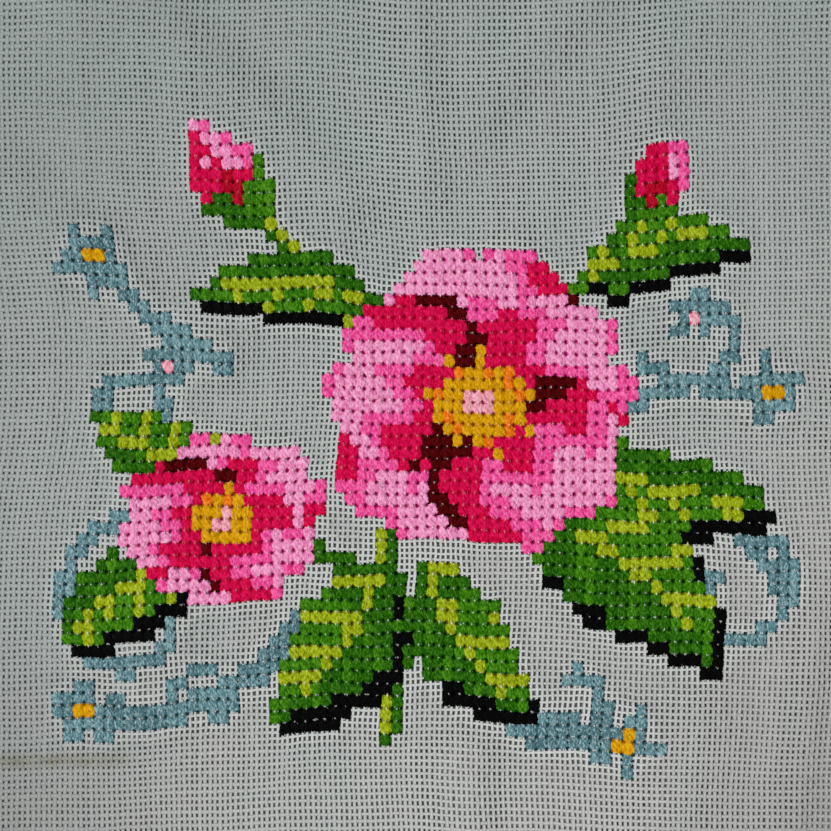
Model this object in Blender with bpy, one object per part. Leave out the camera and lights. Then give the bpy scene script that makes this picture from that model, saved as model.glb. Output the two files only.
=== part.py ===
"""A cross-stitch picture: one square cut of open-weave canvas, worked with a spray of wild roses.

The picture lies face up and flat on a table, +Z up, +Y towards the top of the picture. Its origin is the
middle of its underside, at table height. The cloth touches the table over broad flat places, and rises
between them in soft folds, a few pressed creases and small waves. Its upper face also stands proud where
the thread is worked. Lengths in the tables are millimetres.
"""

import math
from typing import NamedTuple

import bmesh
import bpy
from mathutils import Vector

MM = 0.001

CLOTH_WIDTH = 203.0  # eight inches
CLOTH_LENGTH = 203.0
CLOTH_THICKNESS = 1.2
FRINGE_STEP = 1.2  # how far the raw edges wander in and out
GRID_CELLS = 52

WORK_RELIEF = 0.8  # the worked thread's height over the bare cloth
WORK_EDGE = 3.0  # how wide the rise is at the edge of the worked ground

LEVEL = 0.30  # what is taken off the folds, so that the low ground lies flat on the table
KNEE = 0.35  # how softly the cloth leaves the table
FOLD_FADE = 14.0  # how far a fold takes to die away past each end
WAVE_HEIGHT = 0.35

CANVAS_COLOUR = (0.62, 0.65, 0.62, 1.0)
CANVAS_ROUGHNESS = 0.9


class Fold(NamedTuple):
    """A fold's crest runs from start to end. Left and right are as seen walking along it."""

    name: str
    start: tuple
    end: tuple
    bow: float
    height: float
    left_width: float
    right_width: float


class Patch(NamedTuple):
    """An oval of worked thread, from start to end, as wide as its width at the middle."""

    name: str
    start: tuple
    end: tuple
    width: float


#     name                    start            end             bow  height  left  right
FOLDS = (
    Fold("upper left", (-72.0, 97.0), (-16.0, 49.0), 2.0, 2.6, 5.5, 10.0),
    Fold("far left", (-108.0, 66.0), (-44.0, 16.0), -2.0, 2.3, 7.0, 9.0),
    Fold("middle crease", (0.6, 112.0), (0.6, 60.0), 0.0, 1.3, 3.2, 9.0),
    Fold("upper right", (52.0, 108.0), (2.0, 52.0), -1.5, 1.9, 5.0, 8.0),
    Fold("beside it", (74.0, 96.0), (20.0, 43.0), 1.5, 1.2, 8.0, 6.0),
    Fold("right", (52.0, 8.0), (114.0, -6.0), 1.5, 2.3, 8.0, 5.0),
    Fold("lower left crease", (-116.0, -77.6), (-18.0, -77.6), 0.0, 0.9, 3.4, 1.8),
    Fold("lower right crease", (80.0, -114.0), (89.0, -44.0), -2.5, 1.4, 6.0, 3.0),
    Fold("bottom", (12.0, -114.0), (12.0, -80.0), 0.0, 1.9, 9.0, 5.0),
    Fold("left crease", (-82.0, 32.0), (-82.0, -16.0), 0.0, 0.8, 3.0, 5.0),
    Fold("top right crease", (55.0, 114.0), (55.0, 66.0), 0.0, 0.8, 3.0, 5.0),
    Fold("lower left", (-64.0, -10.0), (-58.0, -64.0), 2.0, 1.9, 8.0, 7.0),
    Fold("lower right", (64.0, -68.0), (49.0, -114.0), 1.0, 1.6, 7.0, 9.0),
    Fold("turned corner", (86.0, 116.0), (116.0, 86.0), 0.0, 3.2, 9.0, 9.0),
    Fold("lifted corner", (-116.0, -92.0), (-92.0, -116.0), 0.0, 2.6, 9.0, 9.0),
)

#     name                    start            end           width
PATCHES = (
    Patch("large rose", (-24.0, 4.0), (50.0, 4.0), 70.0),
    Patch("small rose", (-66.0, -24.0), (-22.0, -24.0), 41.0),
    Patch("left bud", (-35.0, 42.0), (-50.0, 68.0), 15.0),
    Patch("right bud", (49.0, 44.0), (60.0, 66.0), 12.0),
    Patch("right leaf", (34.0, -8.0), (82.0, -20.0), 18.0),
    Patch("lower right leaf", (22.0, -23.0), (68.0, -59.0), 26.0),
    Patch("lower middle leaf", (3.0, -36.0), (28.0, -71.0), 20.0),
    Patch("lower left leaf", (-6.0, -36.0), (-31.0, -74.0), 22.0),
    Patch("left leaf", (-50.0, -35.0), (-81.0, -54.0), 18.0),
    Patch("upper leaf of the small rose", (-46.0, -10.0), (-79.0, 2.0), 14.0),
    Patch("upper left leaf", (-10.0, 24.0), (-55.0, 26.0), 15.0),
    Patch("upper right leaf", (36.0, 32.0), (75.0, 38.0), 15.0),
    Patch("stem of the left bud", (-6.0, 20.0), (-38.0, 48.0), 7.0),
    Patch("stem of the spray", (-4.0, -34.0), (-4.0, -76.0), 7.0),
    Patch("lower left sprig", (-82.0, -69.0), (-34.0, -59.0), 11.0),
    Patch("upper left sprig", (-80.0, 40.0), (-52.0, 12.0), 11.0),
    Patch("right sprig", (50.0, 5.0), (88.0, 6.0), 10.0),
    Patch("lower right sprig", (20.0, -68.0), (56.0, -76.0), 11.0),
    Patch("upper right sprig", (56.0, 30.0), (68.0, 14.0), 12.0),
)

# Edge lines beside the pressed creases, so that these stay crisp.
CREASE_LINES_X = (-1.6, 0.6, 3.0)
CREASE_LINES_Y = (-79.6, -77.6, -75.2)


def smooth(share):
    """0 below 0, 1 above 1, with an even slope into both."""
    share = min(1.0, max(0.0, share))
    return share * share * (3.0 - 2.0 * share)


def fold_height(fold, x, y):
    """How much one fold lifts the cloth at x, y."""
    run_x = fold.end[0] - fold.start[0]
    run_y = fold.end[1] - fold.start[1]
    length = math.hypot(run_x, run_y)
    along = ((x - fold.start[0]) * run_x + (y - fold.start[1]) * run_y) / length
    aside = ((y - fold.start[1]) * run_x - (x - fold.start[0]) * run_y) / length
    share = min(1.0, max(0.0, along / length))
    aside -= fold.bow * 4.0 * share * (1.0 - share)
    width = fold.left_width if aside > 0.0 else fold.right_width
    past_end = max(0.0, -along, along - length)
    crest = fold.height * (1.0 - smooth(past_end / FOLD_FADE))
    return crest * math.exp(-0.5 * (aside / width) ** 2)


def waves(x, y):
    """Small uneven waves over the whole cloth, between about -1 and 1."""
    first = math.sin(x / 13.0 + 0.5 * math.sin(y / 17.0))
    second = math.sin(y / 11.0 + 0.7 * math.sin(x / 19.0) + 1.0)
    return 0.5 * (first * second + math.sin((x + 1.6 * y) / 23.0 - 0.8))


def underside(x, y):
    """The height of the cloth's underside over the table at x, y."""
    lift = sum(fold_height(fold, x, y) for fold in FOLDS)
    lift += WAVE_HEIGHT * waves(x, y) - LEVEL
    return lift * lift / (lift + KNEE) if lift > 0.0 else 0.0


def patch_depth(patch, x, y):
    """How far inside a patch's edge a point is, and below 0 outside it."""
    run_x = patch.end[0] - patch.start[0]
    run_y = patch.end[1] - patch.start[1]
    length = math.hypot(run_x, run_y)
    from_x = x - 0.5 * (patch.start[0] + patch.end[0])
    from_y = y - 0.5 * (patch.start[1] + patch.end[1])
    along = (from_x * run_x + from_y * run_y) / length
    aside = (from_y * run_x - from_x * run_y) / length
    reach = math.hypot(2.0 * along / length, 2.0 * aside / patch.width)
    return (1.0 - reach) * 0.5 * min(length, patch.width)


def relief(x, y):
    """How far the worked thread stands over the bare cloth at x, y."""
    depth = max(patch_depth(patch, x, y) for patch in PATCHES)
    return WORK_RELIEF * smooth(0.5 + depth / WORK_EDGE)


def edge_wander(along):
    """How far a raw edge sits inside the cut at a place along it."""
    return FRINGE_STEP * (0.5 + 0.5 * math.sin(along / 9.0 + 1.3 * math.sin(along / 21.0)))


def place(vert, top):
    """Moves a flat grid point to its place on the cloth's underside or upper face."""
    x, y = vert.co.x / MM, vert.co.y / MM
    half_width, half_length = 0.5 * CLOTH_WIDTH, 0.5 * CLOTH_LENGTH
    squeeze_x = 1.0 - edge_wander(y) / half_width * (abs(x) / half_width) ** 8
    squeeze_y = 1.0 - edge_wander(x + 40.0) / half_length * (abs(y) / half_length) ** 8
    height = underside(x, y)
    if top:
        height += CLOTH_THICKNESS + relief(x, y)
    vert.co = Vector((x * squeeze_x, y * squeeze_y, height)) * MM


def cut_line(bm, point, normal):
    """Adds a line of points across the grid where a crease runs."""
    bmesh.ops.bisect_plane(
        bm, geom=bm.verts[:] + bm.edges[:] + bm.faces[:], plane_co=point, plane_no=normal, dist=1e-6
    )


def cloth_mesh():
    """The canvas as one closed sheet, from a grid that is given a thickness and laid in its folds."""
    bm = bmesh.new()
    bmesh.ops.create_grid(
        bm, x_segments=GRID_CELLS, y_segments=GRID_CELLS, size=0.5 * CLOTH_WIDTH * MM
    )
    bmesh.ops.scale(bm, vec=(1.0, CLOTH_LENGTH / CLOTH_WIDTH, 1.0), verts=bm.verts)
    for x in CREASE_LINES_X:
        cut_line(bm, (x * MM, 0.0, 0.0), (1.0, 0.0, 0.0))
    for y in CREASE_LINES_Y:
        cut_line(bm, (0.0, y * MM, 0.0), (0.0, 1.0, 0.0))
    lower = set(bm.verts)
    bmesh.ops.extrude_face_region(bm, geom=bm.faces[:], use_keep_orig=True)
    for vert in bm.verts:
        place(vert, top=vert not in lower)
    bmesh.ops.dissolve_limit(
        bm,
        angle_limit=math.radians(0.01),
        verts=[v for v in bm.verts if v in lower and v.co.z < 1e-9],
        edges=[e for e in bm.edges if all(v in lower and v.co.z < 1e-9 for v in e.verts)],
    )
    bmesh.ops.recalc_face_normals(bm, faces=bm.faces)
    mesh = bpy.data.meshes.new("canvas_sheet")
    bm.to_mesh(mesh)
    bm.free()
    return mesh


def canvas_material():
    """Plain greyish-white cotton canvas."""
    material = bpy.data.materials.new("canvas")
    material.use_nodes = True
    shader = material.node_tree.nodes["Principled BSDF"]
    shader.inputs["Base Color"].default_value = CANVAS_COLOUR
    shader.inputs["Roughness"].default_value = CANVAS_ROUGHNESS
    shader.inputs["Metallic"].default_value = 0.0
    return material


def main():
    for obj in list(bpy.data.objects):
        bpy.data.objects.remove(obj, do_unlink=True)
    mesh = cloth_mesh()
    mesh.materials.append(canvas_material())
    mesh.shade_smooth()
    sheet = bpy.data.objects.new("canvas_sheet", mesh)
    bpy.context.scene.collection.objects.link(sheet)


main()
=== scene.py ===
"""A cross-stitch picture: a spray of wild roses, worked in stranded thread on a square cut of open canvas.

The canvas is woven here as the real one is. Every warp and weft yarn is a thin closed tube that passes over
and under the yarns that it crosses, and the cloth they make lies on the folds of the part's own sheet. Each
cross has its two legs of three strands, which come up and go down through the holes of the weave, and the
bars of thread behind them. The picture is a chart of small squares, painted from simple flower and leaf
shapes. Lengths are millimetres until a mesh is made, and a mesh is in metres. Every pair of places, lines,
sizes or shifts is given across the cloth first and then along it.
"""

import logging
import math
from collections import defaultdict
from dataclasses import dataclass, field
from enum import Enum
from functools import reduce
from typing import Protocol

import bpy
import numpy as np
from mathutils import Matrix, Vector


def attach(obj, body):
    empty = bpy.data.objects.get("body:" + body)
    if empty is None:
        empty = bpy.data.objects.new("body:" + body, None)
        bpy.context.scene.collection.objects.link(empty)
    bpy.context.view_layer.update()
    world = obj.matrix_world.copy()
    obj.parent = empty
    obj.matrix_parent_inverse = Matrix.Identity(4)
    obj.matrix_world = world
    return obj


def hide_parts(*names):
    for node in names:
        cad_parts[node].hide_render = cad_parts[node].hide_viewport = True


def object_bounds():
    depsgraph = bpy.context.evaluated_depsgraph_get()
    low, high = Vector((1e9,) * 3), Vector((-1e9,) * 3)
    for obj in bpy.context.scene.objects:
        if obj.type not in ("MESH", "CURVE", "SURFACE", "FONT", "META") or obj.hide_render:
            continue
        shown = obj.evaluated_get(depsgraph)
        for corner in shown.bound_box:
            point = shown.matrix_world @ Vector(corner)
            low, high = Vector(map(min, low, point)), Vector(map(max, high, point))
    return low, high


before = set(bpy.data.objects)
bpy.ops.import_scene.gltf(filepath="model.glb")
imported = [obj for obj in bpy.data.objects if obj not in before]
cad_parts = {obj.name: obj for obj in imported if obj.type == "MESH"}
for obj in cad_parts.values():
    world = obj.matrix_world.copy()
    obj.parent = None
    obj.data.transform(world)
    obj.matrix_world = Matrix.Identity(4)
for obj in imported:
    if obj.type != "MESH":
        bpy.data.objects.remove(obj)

Array = np.ndarray
Point = tuple[float, float]
Places = tuple[Array, Array]
Spots = tuple[Array, Array, Array]  # places and their heights
Triple = tuple[float, float, float]
Socket = bpy.types.NodeSocket

CAD_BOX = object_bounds()
MM = 0.001
SEED = 1907
CANVAS_NODE = "canvas_sheet"
TABLE = "table_top"
# OPEN_MIDDLE and OPEN_REACH also set where the painted shade on the cloth is least, and how far it spreads.
OPEN_MIDDLE = (25.0, -50.0)  # where the holes of the weave are largest
OPEN_REACH = (131.0, 191.0)
LOG = logging.getLogger("cross_stitch_picture")


def smooth(share: Array | float) -> Array:
    """Eases a share from 0 to 1, and holds it there past both ends."""
    share = np.clip(share, 0.0, 1.0)
    return share * share * (3.0 - 2.0 * share)


def between(table: Array, at: Places) -> Array:
    """Reads a table at places between its entries.

    Args:
        table: The table, as [column, row].
        at: Columns and rows, whole or not.

    Returns:
        The value at each place.
    """
    column, row = (np.clip(places, 0.0, size - 1.001) for places, size in zip(at, table.shape))
    i, j = column.astype(int), row.astype(int)
    u, v = column - i, row - j
    low = (1 - u) * table[i, j] + u * table[i + 1, j]
    high = (1 - u) * table[i, j + 1] + u * table[i + 1, j + 1]
    return (1 - v) * low + v * high


def from_line(at: Places | Point, start: Point, end: Point) -> tuple[Array, Array, float]:
    """Measures places from a straight line.

    Args:
        at: The places.
        start: Where the line starts.
        end: Where it ends.

    Returns:
        How far along the line each place is, how far to the left of it, and how long the line is.
    """
    run_x, run_y = end[0] - start[0], end[1] - start[1]
    from_x, from_y = at[0] - start[0], at[1] - start[1]
    length = math.hypot(run_x, run_y)
    return (from_x * run_x + from_y * run_y) / length, (from_y * run_x - from_x * run_y) / length, length


def shine_of(colour: Triple) -> tuple[float, ...]:
    """Turns a colour as the eye reads it, 0 to 255, into the even scale of light that a shader takes."""
    red, green, blue = (((part / 255.0 + 0.055) / 1.055) ** 2.4 for part in colour)
    return red, green, blue, 1.0


def put_out(name: str, data: bpy.types.ID) -> bpy.types.Object:
    """Makes an object and puts it in the scene.

    Args:
        name: Its name.
        data: Its mesh, lamp or camera.

    Returns:
        The object, at the origin.
    """
    piece = bpy.data.objects.new(name, data)
    bpy.context.scene.collection.objects.link(piece)
    return piece


# ------------------------------------------------------------------ how the cloth lies


@dataclass(frozen=True)
class Fold:
    """One soft fold. Its crest runs from start to end; left and right are as seen walking along it."""

    name: str
    start: Point
    end: Point
    bow: float
    height: float
    left_width: float
    right_width: float
    fade: float = 14.0

    def lift(self, at: Places) -> Array:
        """Gives how much this fold lifts the cloth.

        Args:
            at: Places on the cloth.

        Returns:
            The lift at each place.
        """
        along, aside, length = from_line(at, self.start, self.end)
        share = np.clip(along / length, 0.0, 1.0)
        aside = aside - self.bow * 4.0 * share * (1.0 - share)
        width = np.where(aside > 0.0, self.left_width, self.right_width)
        past_end = np.maximum(0.0, np.maximum(-along, along - length))
        crest = self.height * (1.0 - smooth(past_end / self.fade))
        return crest * np.exp(-0.5 * (aside / width) ** 2)


#     name                    start            end             bow  height  left  right
FOLDS = (
    Fold("upper left", (-72.0, 97.0), (-16.0, 49.0), 2.0, 2.6, 5.5, 10.0),
    Fold("far left", (-108.0, 66.0), (-44.0, 16.0), -2.0, 2.3, 7.0, 9.0),
    Fold("middle crease", (0.6, 112.0), (0.6, 60.0), 0.0, 1.3, 3.2, 9.0),
    Fold("upper right", (52.0, 108.0), (2.0, 52.0), -1.5, 1.9, 5.0, 8.0),
    Fold("beside it", (74.0, 96.0), (20.0, 43.0), 1.5, 1.2, 8.0, 6.0),
    Fold("right", (52.0, 8.0), (114.0, -6.0), 1.5, 2.3, 8.0, 5.0),
    Fold("lower left crease", (-116.0, -77.6), (-18.0, -77.6), 0.0, 0.9, 3.4, 1.8),
    Fold("lower right crease", (80.0, -114.0), (89.0, -44.0), -2.5, 1.4, 6.0, 3.0),
    Fold("bottom", (12.0, -114.0), (12.0, -80.0), 0.0, 1.9, 9.0, 5.0),
    Fold("left crease", (-82.0, 32.0), (-82.0, -16.0), 0.0, 0.8, 3.0, 5.0),
    Fold("top right crease", (55.0, 114.0), (55.0, 66.0), 0.0, 0.8, 3.0, 5.0),
    Fold("lower left", (-64.0, -10.0), (-58.0, -64.0), 2.0, 1.9, 8.0, 7.0),
    Fold("lower right", (64.0, -68.0), (49.0, -114.0), 1.0, 1.6, 7.0, 9.0),
    Fold("turned corner", (86.0, 116.0), (116.0, 86.0), 0.0, 3.2, 9.0, 9.0),
    Fold("lifted corner", (-116.0, -92.0), (-92.0, -116.0), 0.0, 2.6, 9.0, 9.0),
)


@dataclass(frozen=True)
class Drape:
    """The way the canvas lies: folds and small uneven waves, pressed flat on the table between them."""

    folds: tuple[Fold, ...] = FOLDS
    level: float = 0.30
    knee: float = 0.35
    wave_height: float = 0.35

    def underside(self, at: Places) -> Array:
        """Gives the height of the cloth's underside over the table.

        Args:
            at: Places on the cloth.

        Returns:
            The height at each place, 0 where the cloth lies flat.
        """
        x, y = at
        across = np.sin(x / 13.0 + 0.5 * np.sin(y / 17.0))
        along = np.sin(y / 11.0 + 0.7 * np.sin(x / 19.0) + 1.0)
        waves = 0.5 * (across * along + np.sin((x + 1.6 * y) / 23.0 - 0.8))
        lift = sum(fold.lift(at) for fold in self.folds) + self.wave_height * waves
        lift = np.maximum(0.0, lift - self.level)
        return lift * lift / (lift + self.knee)


@dataclass(frozen=True)
class Pull:
    """A place where a fold or the tight work draws the weave sideways, strongest at its middle."""

    middle: Point
    shift: Point
    reach: Point

    def drawn(self, at: Places) -> Places:
        """Gives how far this pull moves the weave.

        Args:
            at: Places on the cloth.

        Returns:
            The moves at each place.
        """
        far = sum(((n - middle) / reach) ** 2 for n, middle, reach in zip(at, self.middle, self.reach))
        weight = np.exp(-0.5 * far)
        return self.shift[0] * weight, self.shift[1] * weight


#     middle          shift         reach
PULLS = (
    Pull((-84.0, 11.0), (4.4, 0.0), (48.0, 22.0)),
    Pull((10.0, 30.0), (1.5, 0.0), (40.0, 25.0)),
    Pull((86.0, -42.0), (2.2, 0.0), (35.0, 24.0)),
    Pull((14.0, -74.0), (-1.2, 0.0), (26.0, 14.0)),
    Pull((-5.0, -64.0), (0.0, 3.2), (38.0, 34.0)),
    Pull((4.0, 64.0), (0.0, -2.0), (13.0, 40.0)),
    Pull((20.0, 62.0), (0.0, -1.6), (26.0, 34.0)),
    Pull((36.0, 64.0), (0.0, -1.7), (12.0, 36.0)),
    Pull((-48.0, 72.0), (0.0, -1.3), (11.0, 34.0)),
)


# ------------------------------------------------------------------ the picture's chart


class Thread(Enum):
    """The thread colours, each named by its place in the part's record."""

    SHELL = "shell_pink"
    ROSE = "rose_pink"
    CRIMSON = "crimson"
    RED = "red"
    MAROON = "maroon"
    YELLOW = "yellow"
    ORANGE = "orange"
    PEACH = "peach"
    LIME = "lime"
    LEAF = "leaf_green"
    GREEN = "deep_green"
    BLACK = "black"
    MIST = "mist_blue"

    @property
    def slot(self) -> str:
        """The material slot of this colour in the record."""
        return f"{self.value}_thread"

    @property
    def piece(self) -> str:
        """The name of the piece that holds all crosses of this colour."""
        return f"crosses_{self.value}"


class Motif(Protocol):
    """A shape that knows which thread it has at a place, if any."""

    def thread_at(self, at: Point) -> Thread | None:
        """Gives the thread at a place, or None outside the shape."""


@dataclass
class Chart:
    """The squared chart: which cell of the ground is worked, and in which thread."""

    across: int = 86
    up: int = 71
    step: Point = (2.33, 2.78)
    cells: dict[tuple[int, int], Thread] = field(default_factory=dict)

    def centre_of(self, cell: tuple[int, int]) -> Point:
        """Gives the middle of a cell, counted from the lower left, on the plain grid."""
        column, row = cell
        return (column + 0.5 - self.across / 2) * self.step[0], (row + 0.5 - self.up / 2) * self.step[1]

    def paint(self, *motifs: Motif) -> None:
        """Works each motif over what is there.

        Args:
            motifs: The shapes, the lowest first.
        """
        for motif in motifs:
            for cell in np.ndindex(self.across, self.up):
                thread = motif.thread_at(self.centre_of(cell))
                if thread is not None:
                    self.cells[cell] = thread

    def tidy(self) -> None:
        """Gives a lone odd cell the thread that most of its neighbours have, or unpicks it."""
        for (column, row), thread in sorted(self.cells.items()):
            near = [self.cells.get((column + i, row + j)) for i, j in ((1, 0), (-1, 0), (0, 1), (0, -1))]
            worked = [t for t in near if t]
            if thread is Thread.BLACK and len(worked) < 2:
                del self.cells[column, row]
            elif thread in (Thread.BLACK, Thread.RED) and thread not in near:
                self.cells[column, row] = max(worked, key=near.count)

    def crosses_of(self, thread: Thread) -> Array:
        """Lists the columns and rows of the cells worked in one thread."""
        return np.array(sorted(cell for cell, t in self.cells.items() if t is thread), dtype=int)

    def worked(self) -> Array:
        """Maps the ground: 1 for each worked cell and 0 for each bare one, as [column, row]."""
        size = (self.across, self.up)
        return np.reshape([float(cell in self.cells) for cell in np.ndindex(size)], size)


def from_bow(at: Point, start: Point, end: Point, bow: float) -> Point:
    """Gives the share of a bowed line's length at a place, and how far to the left of it the place is."""
    along, aside, length = from_line(at, start, end)
    return along / length, aside - bow * 4.0 * along * (1.0 - along / length)


def from_middle(at: Point, centre: Point, squash: float = 1.0) -> Point:
    """Gives how far a place is from the middle of a flower, squashed lengthwise or not, and which way."""
    from_x, from_y = at[0] - centre[0], (at[1] - centre[1]) / squash
    return math.hypot(from_x, from_y), math.atan2(from_y, from_x)


@dataclass(frozen=True)
class Stem:
    """A line of stitches through a few points, in one thread or with a second one along its other side."""

    points: tuple[Point, ...]
    width: float
    thread: Thread
    other_side: Thread | None = None

    def thread_at(self, at: Point) -> Thread | None:
        """Gives the thread at a place.

        Args:
            at: The place.

        Returns:
            The thread, or None beside the stem.
        """
        nearest = math.inf
        for start, end in zip(self.points, self.points[1:]):
            along, aside, length = from_line(at, start, end)
            gap = round(math.hypot(aside, along - min(length, max(0.0, along))), 9)
            if gap < abs(nearest):
                nearest = math.copysign(gap, -aside)
        if abs(nearest) >= self.width / 2:
            return None
        return self.other_side if self.other_side and nearest > 0.0 else self.thread


def tendril(centre: Point, radii: Point, turns: Point, width: float) -> Stem:
    """Makes a curl of mist-blue thread.

    Args:
        centre: The middle of the curl.
        radii: Its radius at its root and at its tip.
        turns: The directions of its root and tip, in degrees.
        width: How wide the line of stitches is.

    Returns:
        The curl.
    """
    points = []
    for share in np.linspace(0.0, 1.0, 27):
        turn = math.radians(turns[0] + (turns[1] - turns[0]) * share)
        radius = radii[0] + (radii[1] - radii[0]) * share
        points.append((centre[0] + radius * math.cos(turn), centre[1] + radius * math.sin(turn)))
    return Stem(tuple(points), width, Thread.MIST)


@dataclass(frozen=True)
class Leaf:
    """A toothed leaf with a lime midrib and side veins, lighter on one half."""

    start: Point
    end: Point
    width: float
    bow: float = 0.08
    light_side: int = 1
    half_rib: float = 1.2

    def place_in(self, at: Point) -> Point | None:
        """Measures a place inside the leaf.

        Args:
            at: The place.

        Returns:
            The share of the leaf's length and the distance from its midrib, or None outside it.
        """
        share, aside = from_bow(at, self.start, self.end, self.bow)
        if not 0.0 < share < 1.0:
            return None
        half = self.width / 2 * math.sin(math.pi * share**0.80) ** 0.85
        teeth = 1.0 + 0.10 * math.cos(10.0 * math.pi * share)
        return (share, aside) if abs(aside) <= half * teeth else None

    def thread_at(self, at: Point) -> Thread | None:
        """Gives the thread at a place.

        Args:
            at: The place.

        Returns:
            The thread, or None outside the leaf.
        """
        inside = self.place_in(at)
        if inside is None:
            return None
        share, aside = inside
        vein = math.sin(2.0 * math.pi * (4.5 * share - 1.6 * abs(aside) / self.width))
        if abs(aside) < self.half_rib and 0.05 < share < 0.86:
            return Thread.LIME
        if aside * self.light_side > 0.0:
            if vein > 0.55 and share < 0.9:
                return Thread.LIME
            return Thread.LEAF if share > 0.25 else Thread.GREEN
        return Thread.LEAF if vein > 0.72 and 0.15 < share < 0.85 else Thread.GREEN


@dataclass(frozen=True)
class Shadow:
    """The black shade that a leaf throws on the ground, a little aside of it."""

    leaf: Leaf
    offset: Point

    def thread_at(self, at: Point) -> Thread | None:
        """Gives black inside the shade, and None outside it."""
        inside = self.leaf.place_in((at[0] - self.offset[0], at[1] - self.offset[1]))
        return Thread.BLACK if inside else None


@dataclass(frozen=True)
class Bud:
    """A closed bud in its green cup."""

    start: Point
    end: Point
    width: float

    def thread_at(self, at: Point) -> Thread | None:
        """Gives the thread at a place.

        Args:
            at: The place.

        Returns:
            The thread, or None outside the bud.
        """
        share, aside = from_bow(at, self.start, self.end, 0.0)
        if not 0.0 < share < 1.0:
            return None
        turn = aside / (self.width / 2 * math.sin(math.pi * (0.10 + 0.90 * share) ** 0.9) ** 0.7)
        if abs(turn) > 1.0:
            return None
        sepal = 0.14 if abs(abs(turn) - 0.75) < 0.25 else 0.0
        if share < 0.34 - 0.16 * math.cos(1.5 * math.pi * turn) ** 2 + sepal:
            return Thread.GREEN if turn > 0.2 else Thread.LEAF
        if share < 0.50:
            return Thread.CRIMSON if abs(turn) > 0.3 else Thread.RED
        if turn > 0.45 or (abs(turn - 0.12) < 0.16 and share < 0.8):
            return Thread.CRIMSON
        if turn < -0.55 or abs(turn - 0.12) < 0.16:
            return Thread.ROSE
        return Thread.SHELL if share > 0.62 or turn < 0.0 else Thread.ROSE


@dataclass(frozen=True)
class Petal:
    """One broad petal with a notched tip, dark at its root, pale at its rim."""

    centre: Point
    length: float
    turn: float
    squash: float
    dark_root: bool

    def thread_at(self, at: Point) -> Thread | None:
        """Gives the thread at a place.

        Args:
            at: The place.

        Returns:
            The thread, or None outside the petal.
        """
        distance, way = from_middle(at, self.centre, self.squash)
        share = distance * math.cos(way - self.turn) / self.length
        aside = distance * math.sin(way - self.turn) / self.length
        if not 0.08 < share < 1.04:
            return None
        half = 0.60 * math.sin(math.pi * min(1.0, (share * 0.93) ** 0.75)) ** 0.62
        notch = 0.985 - 0.10 * math.exp(-((aside / 0.10) ** 2)) - 0.22 * (abs(aside) / 0.6) ** 3
        if share > notch or abs(aside) > half:
            return None
        turn = aside / max(half, 1e-6)
        vein = 0.5 + 0.5 * math.cos(9.5 * turn)
        if turn < -0.86 and share < 0.90:
            return Thread.MAROON if share < 0.62 else Thread.CRIMSON
        if share < 0.25:
            return Thread.MAROON if self.dark_root else Thread.CRIMSON
        if share < 0.34 + 0.17 * vein or (turn < -0.62 and share < 0.84):
            return Thread.CRIMSON
        if share < 0.47 + 0.22 * vein or turn < -0.40 or notch - share < 0.045:
            return Thread.ROSE
        return Thread.SHELL


@dataclass(frozen=True)
class Eye:
    """The golden middle of a rose, with its ring of stamens."""

    centre: Point
    reach: float
    squash: float

    def thread_at(self, at: Point) -> Thread | None:
        """Gives the thread at a place.

        Args:
            at: The place.

        Returns:
            The thread, or None outside the eye.
        """
        distance, way = from_middle(at, self.centre, self.squash)
        share = distance / self.reach
        if share < 0.10:
            return Thread.PEACH
        if 0.20 <= share < 0.27 and math.sin(9.0 * way + 1.0) > -0.2:
            return Thread.ORANGE
        return Thread.YELLOW if share < 0.27 or (share < 0.36 and math.sin(9.0 * way + 0.4) > 0.72) else None


@dataclass(frozen=True)
class Rose:
    """A wild rose seen face on: five petals, each over its neighbour, round a golden eye."""

    centre: Point
    reach: float
    turn: float
    squash: float
    dark_roots: int

    def motifs(self) -> list[Motif]:
        """Lists the flower's parts.

        Returns:
            Its petals and its eye, the lowest first.
        """
        petals = []
        for k in (0, 2, 4, 1, 3):
            length = self.reach * (1.0 + 0.06 * math.sin(2.3 * k + self.turn))
            turn = math.radians(self.turn + 72.0 * k)
            petals.append(Petal(self.centre, length, turn, self.squash, (k + self.dark_roots) % 2 == 1))
        return [*petals, Eye(self.centre, self.reach, self.squash)]


@dataclass(frozen=True)
class TinyFlower:
    """A small five-petalled flower of mist-blue thread."""

    centre: Point
    reach: float
    turn: float
    eye: Thread

    def thread_at(self, at: Point) -> Thread | None:
        """Gives the thread at a place.

        Args:
            at: The place.

        Returns:
            The thread, or None outside the flower.
        """
        distance, way = from_middle(at, self.centre)
        if distance < self.reach * 0.24:
            return self.eye
        rim = self.reach * (0.72 + 0.28 * math.cos(5.0 * (way - self.turn)))
        return Thread.MIST if distance < rim else None


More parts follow.
